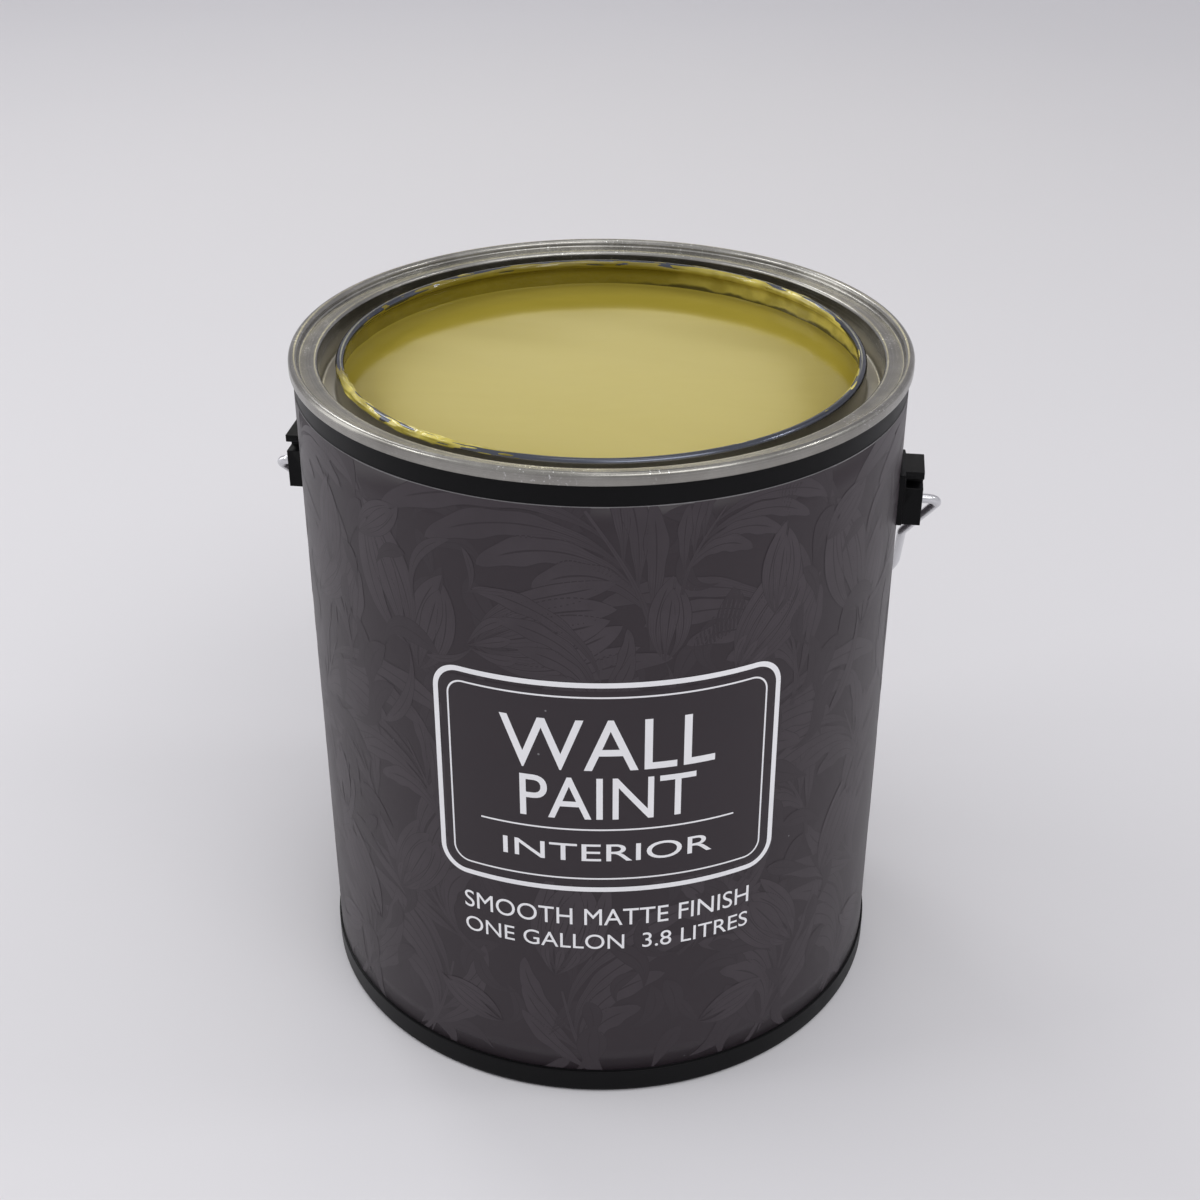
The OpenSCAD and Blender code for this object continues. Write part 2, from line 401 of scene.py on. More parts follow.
def label_paper():
    """Charcoal coated paper with a few specks of dust."""
    s = Shader("label_paper")
    p = s.place()
    colour, rough, bump = paper_ground(s, p)
    dust = s.node("ShaderNodeTexVoronoi", {"feature": "F1"}, {"Vector": p, "Scale": 140.0})
    specks = dust.step(0.03, 0.05, 1.0, 0.0) * s.noise(p, 30.0, 1.0).step(0.60, 0.63)
    return s.finish(Base_Color=s.mix(specks * 0.5, colour, (0.35, 0.35, 0.36)), Roughness=rough,
                    Normal=bump, Specular_IOR_Level=PAPER_SHINE)


def paper_core_and_edge_highlight():
    """Cut edge of the label, where the white paper shows; also the painted highlight along its top
    edge.
    """
    s = Shader("paper_core_and_edge_highlight")
    fibre = s.noise(s.place(), 900.0, 3.0)
    return s.finish(Base_Color=s.mix(fibre, (0.13, 0.125, 0.13), (0.22, 0.215, 0.22)), Roughness=0.8)


def printed_leaf(name, light, dark):
    """Tone-on-tone print: a dark outline and midrib, and engraved lines that run along the leaf
    and die away towards its tip. U runs from the stem to the tip and V across the leaf."""
    s = Shader(name)
    p = s.place()
    _, rough, bump = paper_ground(s, p)
    along, across, _ = s.parts(s.uv())
    side = (across - 0.5).abs() * 2.0
    waver = s.noise(p, 90.0, 2.0) * 0.9
    rib = side.step(0.03, 0.10, 1.0, 0.0) * along.step(0.80, 0.90, 1.0, 0.0)
    edge = side.step(0.86, 0.96)
    lines = ((side * 2.6 + waver) * TAU).sin().step(0.45, 0.95) * along.step(0.15, 0.75, 0.75, 0.0)
    shade = along.step(0.0, 0.55, 0.55, 0.0)
    cloud = s.noise(p, 70.0, 4.0, 0.6).step(0.3, 0.7, 0.0, 0.35)
    ink = rib.at_least(edge).at_least(lines).at_least(shade).at_least(cloud)
    return s.finish(Base_Color=s.mix(ink, light, dark), Roughness=rough, Normal=bump,
                    Specular_IOR_Level=PAPER_SHINE)


def silver_ink():
    """Pale silver ink, slightly broken by the paper."""
    s = Shader("silver_ink")
    p = s.place()
    grain = s.noise(p, 1800.0, 3.0, 0.6)
    cloud = s.noise(p, 60.0, 3.0)
    return s.finish(Base_Color=s.mix(cloud, (0.78, 0.78, 0.80), (0.90, 0.90, 0.92)),
                    Roughness=0.40 + grain * 0.15, Normal=s.bump(grain, 0.00002, 0.3))


def wet_paint(name, deep, pale, rough, painted_light_colour=None):
    """Wet emulsion paint: an even colour with faint stirred streaks and a soft gloss. With a last
    colour, it is the film on the neck and lip, with painted light in that colour at the right and
    over a smear at the front left, a painted shadow where it meets the liquid, and uneven enough
    to glint."""
    s = Shader(name)
    p = s.place()
    streaks = s.noise(s.stretched(p, (1.0, 3.2, 1.0)), 22.0, 4.0, 0.55, 1.4)
    fine = s.noise(p, 300.0, 3.0)
    colour = s.mix(streaks, deep, pale)
    if painted_light_colour is None:
        bump, shine = s.bump(streaks, 0.0002, 0.08), 0.28
    else:
        x, y, z = s.parts(p)
        thick = s.noise(p, 120.0, 3.0).step(0.35, 0.65)
        smear = ((x + 0.044).power(2.0) + (y + 0.056).power(2.0)).step(0.0005, 0.0013, 1.0, 0.0)
        # painted light: the film's colour is brightened at the right and over the smear at the front
        # left, in patches that follow the noise thick
        colour = s.mix(x.step(-0.005, 0.05).at_least(smear) * (0.45 + thick * 0.55), colour, painted_light_colour)
        # painted shadow: a dark line on the film just above the liquid, towards the right
        meniscus_painted_shadow = (z - thick * 0.0009).step((PAINT_Z + 0.2) * MM, (PAINT_Z + 1.2) * MM, 0.9, 0.0)
        colour = s.mix(meniscus_painted_shadow * x.step(-0.012, 0.012), colour, (0.035, 0.028, 0.002))
        bump, shine = s.bump(s.noise(p, 700.0, 2.0, 0.5), 0.0004, 0.35), 0.6
    return s.finish(Base_Color=colour, Roughness=rough + streaks * 0.05 + fine * 0.02, Normal=bump,
                    Specular_IOR_Level=shine)


def seam_compound():
    """Dull grey-green sealing compound."""
    s = Shader("seam_compound")
    grain = s.noise(s.place(), 800.0, 3.0)
    return s.finish(Base_Color=s.mix(grain, (0.16, 0.18, 0.16), (0.24, 0.26, 0.24)), Roughness=0.75,
                    Normal=s.bump(grain, 0.00005, 0.5))


# ---------------------------------------------------------------- pieces of the can

def body_profile():
    """Outline of the moulded body, (radius, height), from the middle of its underside outwards,
    up the wall, over the flange and down the inside to the middle of the floor."""
    recess, floor, fillet, foot_round = 3.2, 4.8, 2.5, 1.4
    foot_in = FOOT_R - foot_round - 2.8
    in_r = WALL_R - WALL_T
    flange_z = CAN_H - 1.65
    return np.concatenate([
        line((0, recess - 0.3), (2.5, recess - 0.3), (3, recess), (4, recess), (4.4, recess - 0.6),
             (28, recess - 0.6), (28.5, recess), (30, recess), (30.5, recess - 0.6),
             (58.6, recess - 0.6), (59.4, recess), (foot_in - 1.2, recess)),
        line((foot_in - 0.8, recess - 0.4), (foot_in - 0.5, 0.6)),
        arc((foot_in + 0.3, 0.5), 0.5, 180, 260),
        arc((FOOT_R - foot_round, foot_round), foot_round, -88, 0),
        line((FOOT_R, 2.4), (FOOT_R, 7.0)),
        arc((FOOT_R - 0.3, 7.2), 0.3, 0, 90),
        line((FOOT_R - 0.5, 7.52), (WALL_R, 7.68), (WALL_R, 12), (WALL_R, 185),
             (WALL_R, CAN_H - 2.75), (WALL_R + 0.68, CAN_H - 2.7), (WALL_R + 0.68, flange_z)),
        arc((SEAM_MID_R, flange_z), 0.82, 0, 180),
        line((in_r, CAN_H - 3), (in_r, floor + fillet)),
        arc((in_r - fillet, floor + fillet), fillet, 0, -90),
        line((40, floor), (0, floor))])


def spun_piece(name, profile, poles=(False, False), closed=False, shift=None):
    """A profile carried round the axis, with U round the can and V along the profile, in 100 mm.
    shift(angles, profile) may add an (angle, step, xyz) displacement in millimetres."""
    points = spin(profile, ANGLES)
    if shift is not None:
        points = points + shift(ANGLES, profile)
    path = np.concatenate([profile, profile[:1]]) if closed else profile
    return surface(name, points, closed_u=True, closed_v=closed, pole_first=poles[0],
                   pole_last=poles[1], v=lengths(path) / 100)


def make_body():
    """The moulded body, crisp where its faces meet at more than 25 degrees."""
    piece = spun_piece("moulded_body", body_profile(), poles=(True, True))
    piece.data.set_sharp_from_angle(angle=math.radians(25))
    return piece


def ring_profile():
    """Outline of the ring's sheet: its outer face from the hook under the seam to the end of the
    lip's curl, and back along the inner face, a sheet's thickness inside. Also gives the ranges
    of distance along it, in parts of 100 mm, that are the groove and the curl."""
    seam = np.concatenate([
        arc((SEAM_R - 0.55, SEAM_Z0 + 0.55), 0.55, -170, 0, 15),
        arc((SEAM_MID_R, CAN_H - SEAM_TOP_R), SEAM_TOP_R, 0, 180),
        arc((SEAM_R - 2 * SEAM_TOP_R - 0.5, SHELF_Z + 0.5), 0.5, 0, -90, 15),
        line((79.6, SHELF_Z), (78.6, SHELF_Z - 0.04), (78.1, SHELF_Z - 0.02)),
        arc((GROOVE_R + 1, SHELF_Z - 1), 1, 90, 180)])
    groove = np.concatenate([
        line((GROOVE_R, SHELF_Z - 3), (GROOVE_R, SHELF_Z - 5.5)),
        arc((GROOVE_R - 1, GROOVE_Z + 1), 1, 0, -90, 12),
        arc((NECK_R + 1, GROOVE_Z + 1), 1, -90, -180, 12)])
    neck = line((NECK_R, GROOVE_Z + 2.5), (NECK_R, GROOVE_Z + 5.5))
    curl = arc((LIP_R, LIP_Z), CURL_R, 0, 290)
    outer = np.concatenate([seam, groove, neck, curl])
    inner = outer - TIN_T * normals_right(outer)
    s = lengths(outer) / 100
    into, out = s[len(seam)], s[len(seam) + len(groove)]
    top = s[len(seam) + len(groove) + len(neck)]
    return np.concatenate([outer, inner[::-1]]), (into, out), (top, s[-1])


def ring_wobble(angles, profile):
    """Slow unevenness of the pressed ring: a sum of cosines of the angle, up to 14 waves round it
    and a few hundredths of a millimetre high, growing from the seam to the neck."""
    rng = np.random.default_rng(7)
    wave = sum(rng.normal() / n * np.cos(n * angles + rng.uniform(0, TAU)) for n in range(2, 15))
    rise = sum(rng.normal() / n * np.cos(n * angles + rng.uniform(0, TAU)) for n in range(2, 15))
    inner = smoothstep(SEAM_R - 3, NECK_R, profile[:, 0])
    out = 0.035 * wave[:, None] * inner
    up = 0.03 * rise[:, None] * inner
    return np.stack([np.cos(angles)[:, None] * out, np.sin(angles)[:, None] * out, up], 2)


def make_ring():
    """The ring and its material, which has to know where the groove and the curl are."""
    profile, groove, lip = ring_profile()
    return spun_piece("tinplate_ring", profile, closed=True, shift=ring_wobble), tinplate(groove, lip)


def make_paint():
    """The paint: the CAD's fill below, and above it a liquid surface, the sum of 14 slow cosine
    waves, which climbs the neck by an exponential over its last half millimetre."""
    edge = NECK_R - TIN_T - 0.05
    near_edge = edge - 2.6 * np.linspace(0, 1, 16) ** 1.6
    top_r = np.concatenate([near_edge, np.linspace(edge - 3.2, 0, 60)])
    profile = np.concatenate([
        line((0, paint_low[2]), (79.3, paint_low[2]), (81.8, 7.4), (81.8, 183.6), (edge, 183.65)),
        np.stack([top_r, np.full(len(top_r), PAINT_Z)], 1)])
    n_top = len(top_r)
    rng = np.random.default_rng(3)

    def liquid(angles, prof):
        shift = np.zeros((len(angles), len(prof), 3))
        r = prof[-n_top:, 0]
        x, y = np.cos(angles)[:, None] * r, np.sin(angles)[:, None] * r
        z = np.zeros_like(x)
        for _ in range(14):
            bearing, phase = rng.uniform(0, TAU, 2)
            length = rng.uniform(26, 80)
            z += 0.010 * np.cos(TAU * (x * np.cos(bearing) + y * np.sin(bearing)) / length + phase)
        z *= smoothstep(0, 8, edge - r)
        z += 0.42 * np.exp(-(edge - r) / 0.5)
        shift[:, -n_top:, 2] = z
        return shift

    return spun_piece("wet_paint", profile, poles=(True, True), shift=liquid)


def film_path():
    """Where paint clings, (radius, height): over the lip's curl from its outer side to its inner
    side, then down the inside of the neck to the liquid. Also gives the curl's length."""
    curl = arc((LIP_R, LIP_Z), CURL_R, -55, 245, 6)
    path = np.concatenate([
        curl,
        line((70.6, LIP_Z - 1.55), (71.2, LIP_Z - 2.1), (71.45, LIP_Z - 2.9)),
        line((71.5, LIP_Z - 3.4), (71.5, PAINT_Z - 0.6), step=0.3)])
    return path, lengths(curl)[-1]


def make_film():
    """A film of paint on the neck and lip. Its thickness is a smooth noise plus a coverage that
    depends on the angle and on the place along the profile; where it is negative the film is
    under the metal and doesn't show."""
    path, lip = film_path()
    s = lengths(path)
    n = 3 * ROUND
    angles = np.arange(n) * TAU / n
    rng = np.random.default_rng(11)
    fine = soft_noise(rng, n, len(s), 5, 1.6)
    broad = soft_noise(rng, n, len(s), 22, 5)
    runs = soft_noise(rng, n, len(s), 7, 40)
    place = s[None, :] / lip                      # 0 on the lip's outer side, 1 where the neck starts
    a = angles[:, None]
    wall = smoothstep(0.80, 1.02, place)
    inside = smoothstep(0.50, 0.78, place)
    crest = smoothstep(0.02, 0.16, place) * (1 - wall)
    # The lip carries most paint at the back and at the near left, over which it was poured.
    back = around(a, 98, 48, 30)
    near_left = around(a, 229, 22, 14)
    right = around(a, 20, 40, 30)
    on_crest = crest * (0.50 * back + 0.75 * near_left - 0.1 * right)
    cover = (-0.75 + 1.9 * wall + 0.50 * inside + on_crest
             + 0.30 * inside * (back + right) + 0.35 * near_left * smoothstep(0.0, 0.1, place))
    field = cover + 0.30 * broad + 0.34 * fine + 0.14 * runs
    low = smoothstep(lip + 1.0, s[-1], s)[None, :]
    thick = np.clip(field, -0.5, 1.6) * 0.14 + 0.10 * low * np.clip(runs, 0, 2)
    thick += 0.10 * near_left * crest * np.clip(fine, 0, 2)
    thick = np.clip(thick, -0.06, 0.42)
    normal = normals_right(path)
    profile = path[None] + normal[None] * thick[:, :, None]
    r, z = profile[..., 0], profile[..., 1]
    points = np.stack([np.cos(a) * r, np.sin(a) * r, z], 2)
    points += ring_wobble(angles, path)
    return surface("paint_film", points, closed_u=True, v=s / 100)


def make_label():
    """The paper sleeve, with a window round each ear and its ends meeting at the back."""
    slit = LABEL_HALF_SLIT / LABEL_R
    gap = 0.3
    edge = math.asin((ear_high[1] + gap) / LABEL_R)
    z0, z1 = ear_low[2] - gap, ear_high[2] + gap
    starts = np.linspace(math.pi / 2 + slit, math.pi / 2 + TAU - slit, ROUND + 1)
    cuts = [math.pi - edge, math.pi + edge, TAU - edge, TAU + edge]
    angles = np.unique(np.concatenate([starts, cuts]))
    heights = np.unique(np.concatenate([np.linspace(label_low[2], label_high[2], 24), [z0, z1]]))
    profile = np.stack([np.full(len(heights), LABEL_R), heights], 1)

    def keep(i, j):
        middle = (angles[i] + angles[i + 1]) / 2
        height = (heights[j] + heights[j + 1]) / 2
        beside_ear = np.abs(np.sin(middle)) < math.sin(edge)
        return ~(beside_ear & (height > z0) & (height < z1))

    piece = surface("paper_label", spin(profile, angles), keep=keep, u=angles / TAU,
                    v=(heights - heights[0]) / 100)
    wall = piece.modifiers.new("paper", "SOLIDIFY")
    wall.thickness, wall.offset, wall.material_offset_rim = 0.15 * MM, -1, 1
    return piece


def tube(name, path, radii, side_normal, sides=20):
    """A round bar of changing radius along a path that lies in one plane, closed at both ends."""
    across = np.cross(directions(path), side_normal)
    t = np.arange(sides) * TAU / sides
    points = (path[None] + np.cos(t)[:, None, None] * across[None] * radii[None, :, None]
              + np.sin(t)[:, None, None] * np.array(side_normal)[None, None] * radii[None, :, None])
    return surface(name, points[::-1], closed_u=True, pole_first=True, pole_last=True,
                   v=lengths(path) / 100)


def bail_path():
    """Centre line of the bail, flat: (across, down). A hook, a slanted leg, an elbow, a straight,
    a shoulder and half of the crown, mirrored to the other side."""
    leg_x, slant, bend, elbow, shoulder, turn = 86.0, 16.0, 2.8, 12.0, 50.0, 50.0
    si, co = math.sin(math.radians(slant)), math.cos(math.radians(slant))
    crown = shoulder + (leg_x - shoulder) / math.cos(math.radians(turn))
    shoulder_s = BAIL_DEPTH - crown - (shoulder - crown) * math.sin(math.radians(turn))
    leg = np.array([HOOK_X - bend * (1 - co), bend * (1 + si)])
    leg_length = (leg[0] - elbow * (1 - co) - leg_x) / si
    elbow_end = leg[1] + leg_length * co + elbow * si
    half = np.concatenate([
        line((ear_low[0] + 2.2, 0), (HOOK_X - bend, 0), step=0.8)[:-1],
        arc((HOOK_X - bend, bend), bend, -90, slant, 6)[:-1],
        line(leg, leg + leg_length * np.array([-si, co]), step=2)[:-1],
        arc((leg_x + elbow, elbow_end), elbow, 180 + slant, 180, 3)[:-1],
        line((leg_x, elbow_end), (leg_x, shoulder_s), step=2)[:-1],
        arc((leg_x - shoulder, shoulder_s), shoulder, 0, turn, 2)[:-1],
        arc((0, BAIL_DEPTH - crown), crown, turn, 90, 1.5)])
    return np.concatenate([half, half[-2::-1] * [-1, 1]])


def make_bail():
    """The wire, hanging at the back: the flat path turned down about the pivot."""
    flat = bail_path()
    gap = 0.3                                     # between the wire and the label
    hang = math.acos((LABEL_R + WIRE_R + gap) / BAIL_DEPTH)
    normal = np.array([0, math.sin(hang), math.cos(hang)])
    path = np.stack([flat[:, 0], flat[:, 1] * math.cos(hang),
                     PIVOT_Z - flat[:, 1] * math.sin(hang)], 1)
    end = np.array([0.0, 0.55, 0.85, 1.0])
    lead = np.array([0.0, 0.10, 0.30, 0.65])
    first = path[0] + (path[1] - path[0])[None] / np.linalg.norm(path[1] - path[0]) * lead[:, None]
    last = first[::-1] * [-1, 1, 1]
    radii = WIRE_R * np.concatenate([end, np.ones(len(path) - 2), end[::-1]])
    return tube("bail_bar", np.concatenate([first, path[1:-1], last]), radii, normal)


def make_ear(node, name):
    """The CAD ear with its edges rounded as a moulding's are."""
    source = frame["nodes"][node]
    mesh = source.data.copy()
    mesh.name = name
    mesh.materials.clear()
    work = bmesh.new()
    work.from_mesh(mesh)
    bmesh.ops.remove_doubles(work, verts=work.verts, dist=0.002 * MM)
    weight = work.edges.layers.float.new("bevel_weight_edge")
    for edge in work.edges:
        middle = (edge.verts[0].co + edge.verts[1].co) / 2
        off_bore = math.hypot(middle.y, middle.z - PIVOT_Z * MM) > 2 * WIRE_R * MM
        if off_bore and len(edge.link_faces) == 2 and edge.calc_face_angle() > math.radians(40):
            edge[weight] = 1.0
    work.to_mesh(mesh)
    work.free()
    mesh.polygons.foreach_set("use_smooth", np.full(len(mesh.polygons), True))
    mesh.set_sharp_from_angle(angle=math.radians(30))
    piece = bpy.data.objects.new(name, mesh)
    bpy.context.scene.collection.objects.link(piece)
    bevel = piece.modifiers.new("rounding", "BEVEL")
    bevel.width, bevel.segments, bevel.limit_method = 0.25 * MM, 3, "WEIGHT"
    return piece


# ---------------------------------------------------------------- print on the label

def wrap(s, z, lift):
    """Puts flat print on the label: s is the distance round the can from the middle of the front,
    z the height and lift the height above the paper, all in millimetres."""
    a = FRONT + s / LABEL_R
    r = LABEL_R + lift
    return np.stack([r * np.cos(a), r * np.sin(a), z], -1)


def bezier(p0, p1, p2, p3, t):
    """Point of a cubic curve at each t."""
    t = t[:, None]
    return (1 - t) ** 3 * p0 + 3 * (1 - t) ** 2 * t * p1 + 3 * (1 - t) * t ** 2 * p2 + t ** 3 * p3


class Print:
    """Collects strips of flat print, each a grid along and across a curve, into one mesh."""

    def __init__(self, name, lift):
        self.name, self.lift = name, lift
        self.points, self.faces, self.uvs, self.count = [], [], [], 0

    def strip(self, spine, half, across):
        """A strip along a spine of (s, z), half as wide as stated at each point. Each strip lies
        slightly higher than the one before, so that later ones cover earlier ones."""
        side = -normals_right(spine)
        v = np.linspace(-1, 1, across)
        flat = spine[:, None, :] + side[:, None, :] * (half[:, None] * v[None, :])[:, :, None]
        points = wrap(flat[..., 0], flat[..., 1], self.lift)
        quads, i, j = grid_faces(len(spine), across)
        u = lengths(spine) / lengths(spine)[-1]
        self.uvs.append(corner_uvs(u, v / 2 + 0.5, i, j))
        self.faces.append(quads + self.count)
        self.points.append(points.reshape(-1, 3))
        self.count += points.shape[0] * points.shape[1]
        self.lift += 0.0004

    def piece(self):
        return mesh_object(self.name, np.concatenate(self.points),
                           np.concatenate(self.faces).tolist(),
                           np.concatenate(self.uvs).reshape(-1, 2))


class Spray:
    """Draws plant forms from a root, growing along a bearing (degrees), at a size (mm). Control
    points are (along, aside) as parts of the size; hand -1 turns the aside distances over."""

    def __init__(self, layer, root, bearing, size, hand=1):
        self.layer, self.root, self.size = layer, np.array(root, float), size
        a = math.radians(bearing)
        self.ahead = np.array([math.cos(a), math.sin(a)])
        self.aside = np.array([-math.sin(a), math.cos(a)]) * hand

    def curve(self, knots, steps):
        """Points of the cubic curve that four control points give."""
        at = [self.root + self.size * (k[0] * self.ahead + k[1] * self.aside) for k in knots]
        return bezier(*at, np.linspace(0, 1, steps))

    def blade(self, *knots, width, blunt=0.5, waves=0, steps=30):
        """A leaf or petal along a cubic curve. Its half width is a half sine of the way along:
        blunt carries its widest place towards the tip and makes it fuller, a small extra width
        joins it to its stem, and waves make its edge scalloped."""
        t = np.linspace(0, 1, steps)
        body = np.sin(math.pi * t ** (1 + 1.6 * blunt)) ** (1 - 0.45 * blunt)
        body = body + 0.16 * (1 - t) ** 2 * t ** 0.3
        edge = 1 + 0.10 * np.cos(TAU * waves * t) if waves else 1
        half = np.maximum(self.size * width / 2 * body * edge, 0.015)
        self.layer.strip(self.curve(knots, steps), half, 7)

    def stem(self, *knots, width=0.02):
        """A stem along a cubic curve, tapering to its end."""
        steps = 36
        t = np.linspace(0, 1, steps)
        self.layer.strip(self.curve(knots, steps), self.size * width * (1 - 0.55 * t), 5)

    def acanthus(self):
        """Lobes that leave a rib one after another, each reaching further and curling over."""
        for k in (2, 1, 0):
            self.blade((0.10 + 0.20 * k, -0.03), (0.30 + 0.22 * k, -0.16), (0.55 + 0.25 * k, -0.30),
                       (0.82 + 0.25 * k, -0.38 + 0.10 * k), width=0.15, waves=3)
        for k in (3, 2, 1, 0):
            self.blade((0.22 * k, -0.05), (0.44 + 0.24 * k, -0.06 + 0.05 * k),
                       (0.66 + 0.27 * k, 0.16 + 0.19 * k), (0.61 + 0.25 * k, 0.53 + 0.27 * k),
                       width=0.20, blunt=0.75, waves=4, steps=40)
        self.stem((-0.1, 0.05), (0.2, -0.08), (0.5, -0.06), (0.95, 0.0), width=0.022)

    def tulip(self):
        """A flower on its side: sepals, two outer petals that turn back, two inner and a middle."""
        for side in (-1, 1):
            self.blade((0, 0), (0.18, 0.34 * side), (0.62, 0.24 * side), (1.02, 0.24 * side),
                       width=0.16)
            self.blade((0, 0), (0.25, 0.20 * side), (0.65, 0.16 * side), (0.96, 0.06 * side),
                       width=0.20)
        self.blade((0, 0), (0.3, 0.02), (0.6, -0.01), (0.90, 0.0), width=0.24, blunt=0.3)
        for side in (-1, 0, 1):
            self.blade((-0.06, 0), (0.05, 0.10 * side), (0.16, 0.16 * side), (0.26, 0.13 * side),
                       width=0.08)

    def bud(self):
        """A closed bud: two petals wrapped about a third."""
        self.blade((0, 0), (0.25, 0.20), (0.65, 0.18), (1.0, 0.03), width=0.20, blunt=0.35)
        self.blade((0, 0), (0.22, -0.22), (0.60, -0.16), (0.92, 0.0), width=0.18, blunt=0.35)
        self.blade((0, 0), (0.3, 0.02), (0.6, 0.02), (0.85, 0.02), width=0.20, blunt=0.35)


# Plants of one repeat, lowest first: distance round the can, height, bearing, size, hand, kind.
PLANTS = (
    (-56, 8, 70, 34, 1, "acanthus"), (-2, 4, 108, 36, -1, "acanthus"),
    (44, 10, 72, 38, 1, "acanthus"), (-38, 46, 128, 34, -1, "acanthus"),
    (22, 50, 60, 30, 1, "acanthus"), (60, 78, 118, 32, 1, "acanthus"),
    (-46, 82, 112, 30, 1, "acanthus"), (30, 96, 66, 34, -1, "acanthus"),
    (52, 124, 102, 34, 1, "acanthus"), (11, 151, 116, 40, 1, "acanthus"),
    (-22, 96, 96, 32, -1, "acanthus"), (-6, 120, 80, 26, 1, "acanthus"),
    (-51, 133, 72, 31, 1, "bud"), (-54, 139, 112, 40, -1, "bud"), (14, 143, 84, 24, 1, "bud"),
    (-34, 145, 17, 40, 1, "tulip"), (34, 138, 52, 30, 1, "tulip"), (-14, 44, 78, 32, 1, "tulip"),
    (56, 40, 128, 28, 1, "tulip"), (-62, 58, 60, 26, -1, "tulip"), (6, 84, 140, 26, 1, "tulip"),
    (18, 164, 62, 24, -1, "acanthus"), (44, 150, 84, 26, 1, "bud"), (60, 166, 40, 20, -1, "bud"),
    (26, 22, 20, 22, 1, "bud"), (-30, 22, 150, 22, 1, "bud"), (40, 68, 96, 22, -1, "bud"))

# Single leaves over them: distance round the can, height, bearing, size, bend.
LOOSE_LEAVES = (
    (-54, 139, -112, 30, 0.2), (-51, 152, 62, 24, 0.3), (-36, 158, 92, 14, -0.2),
    (-37, 159, 8, 14, 0.1), (-34, 145, 205, 16, 0.2), (14, 143, -96, 20, 0.2))

REPEATS = 4                               # of the print, round the can


def floral_tile(sprigs, leaves, flowers, x):
    """One repeat of the print, centred at the distance x round the can: a scatter of sprigs in
    staggered rows, and the plants over it."""
    rng = np.random.default_rng(21)
    for column in range(11):
        for row in range(13):
            root = (x + (column - 5 + 0.5 * (row % 2)) * 12 + rng.uniform(-3, 3),
                    8 + row * 14 + rng.uniform(-4, 4))
            bend = rng.uniform(-0.35, 0.35)
            sprig = Spray(sprigs, root, rng.uniform(20, 160), rng.uniform(12, 20))
            sprig.blade((0, 0), (0.35, bend), (0.7, bend), (1.0, -bend),
                        width=rng.uniform(0.25, 0.40), steps=18)
    for s, z, bearing, size, hand, kind in PLANTS:
        layer = leaves if kind == "acanthus" else flowers
        getattr(Spray(layer, (x + s, z), bearing, size, hand), kind)()
    for s, z, bearing, size, bend in LOOSE_LEAVES:
        leaf = Spray(leaves, (x + s, z), bearing, size)
        leaf.blade((0, 0), (0.3, bend), (0.7, bend), (1, 0), width=0.14)


def make_floral():
    """Print round the whole label, in equal repeats at the same height above the paper."""
    layers = (Print("print_sprigs", 0.002), Print("print_leaves", 0.015),
              Print("print_flowers", 0.045))
    lifts = [layer.lift for layer in layers]
    width = TAU * LABEL_R / REPEATS
    for k in range(REPEATS):
        for layer, lift in zip(layers, lifts):
            layer.lift = lift
        floral_tile(*layers, (k - 1) * width)
    return [clip_print(layer.piece()) for layer in layers]


def clip_print(piece):
    """Cuts away print above and below the label and over the ears' windows."""
    work = bmesh.new()
    work.from_mesh(piece.data)
    for height, up in ((label_low[2] + 0.2, False), (label_high[2] - 0.2, True)):
        bmesh.ops.bisect_plane(work, geom=work.verts[:] + work.edges[:] + work.faces[:],
                               plane_co=(0, 0, height * MM), plane_no=(0, 0, 1),
                               clear_outer=up, clear_inner=not up)
    half = (ear_high[1] + 0.6) * MM
    low, high = (ear_low[2] - 0.6) * MM, (ear_high[2] + 0.6) * MM
    gone = [f for f in work.faces
            if abs(f.calc_center_median().y) < half and low < f.calc_center_median().z < high
            and abs(f.calc_center_median().x) > 50 * MM]
    bmesh.ops.delete(work, geom=gone, context="FACES")
    work.to_mesh(piece.data)
    work.free()
    return piece


def rounded_rectangle(half_s, z0, z1, radius, step=1.0):
    """Closed path (s, z) round a rectangle with round corners, running anticlockwise."""
    zc, half_z = (z0 + z1) / 2, (z1 - z0) / 2
    path = np.concatenate([
        arc((half_s - radius, zc + half_z - radius), radius, 0, 90, 9),
        line((half_s - radius, z1), (radius - half_s, z1), step=step)[1:-1],
        arc((radius - half_s, zc + half_z - radius), radius, 90, 180, 9),
        arc((radius - half_s, zc - half_z + radius), radius, 180, 270, 9),
        line((radius - half_s, z0), (half_s - radius, z0), step=step)[1:-1],
        arc((half_s - radius, zc - half_z + radius), radius, 270, 360, 9)])
    return np.concatenate([path, path[:1]])


INK_LIFT = 0.10                           # height of the silver ink above the paper


def make_panel():
    """Plain ground inside the frame, as one wide strip whose ends are rounded by a circle."""
    half_s, half_z, middle, radius = 44.5, 30.2, 104.8, 4.5
    panel = Print("label_panel", INK_LIFT - 0.02)
    spine = line((-half_s, middle), (half_s, middle), step=1.0)
    into = np.clip(radius - (half_s - np.abs(spine[:, 0])), 0, radius)
    panel.strip(spine, half_z - (radius - np.sqrt(radius ** 2 - into ** 2)), 9)
    return panel.piece()


def make_frame():
    """Two lines round the wording and a ruled line under its first words, as strips of ink."""
    ink_print = Print("label_frame", INK_LIFT)
    outer, inner = (46.0, 72.8, 136.8, 7.0, 1.5), (42.4, 76.4, 133.2, 4.5, 0.5)
    for half_s, z0, z1, radius, width in (outer, inner):
        path = rounded_rectangle(half_s, z0, z1, radius)
        ink_print.strip(path, np.full(len(path), width / 2), 3)
    rule = line((-34, 92.4), (34, 92.4), step=1.0)
    ink_print.strip(rule, np.full(len(rule), 0.5 / 2), 3)
    return ink_print.piece()


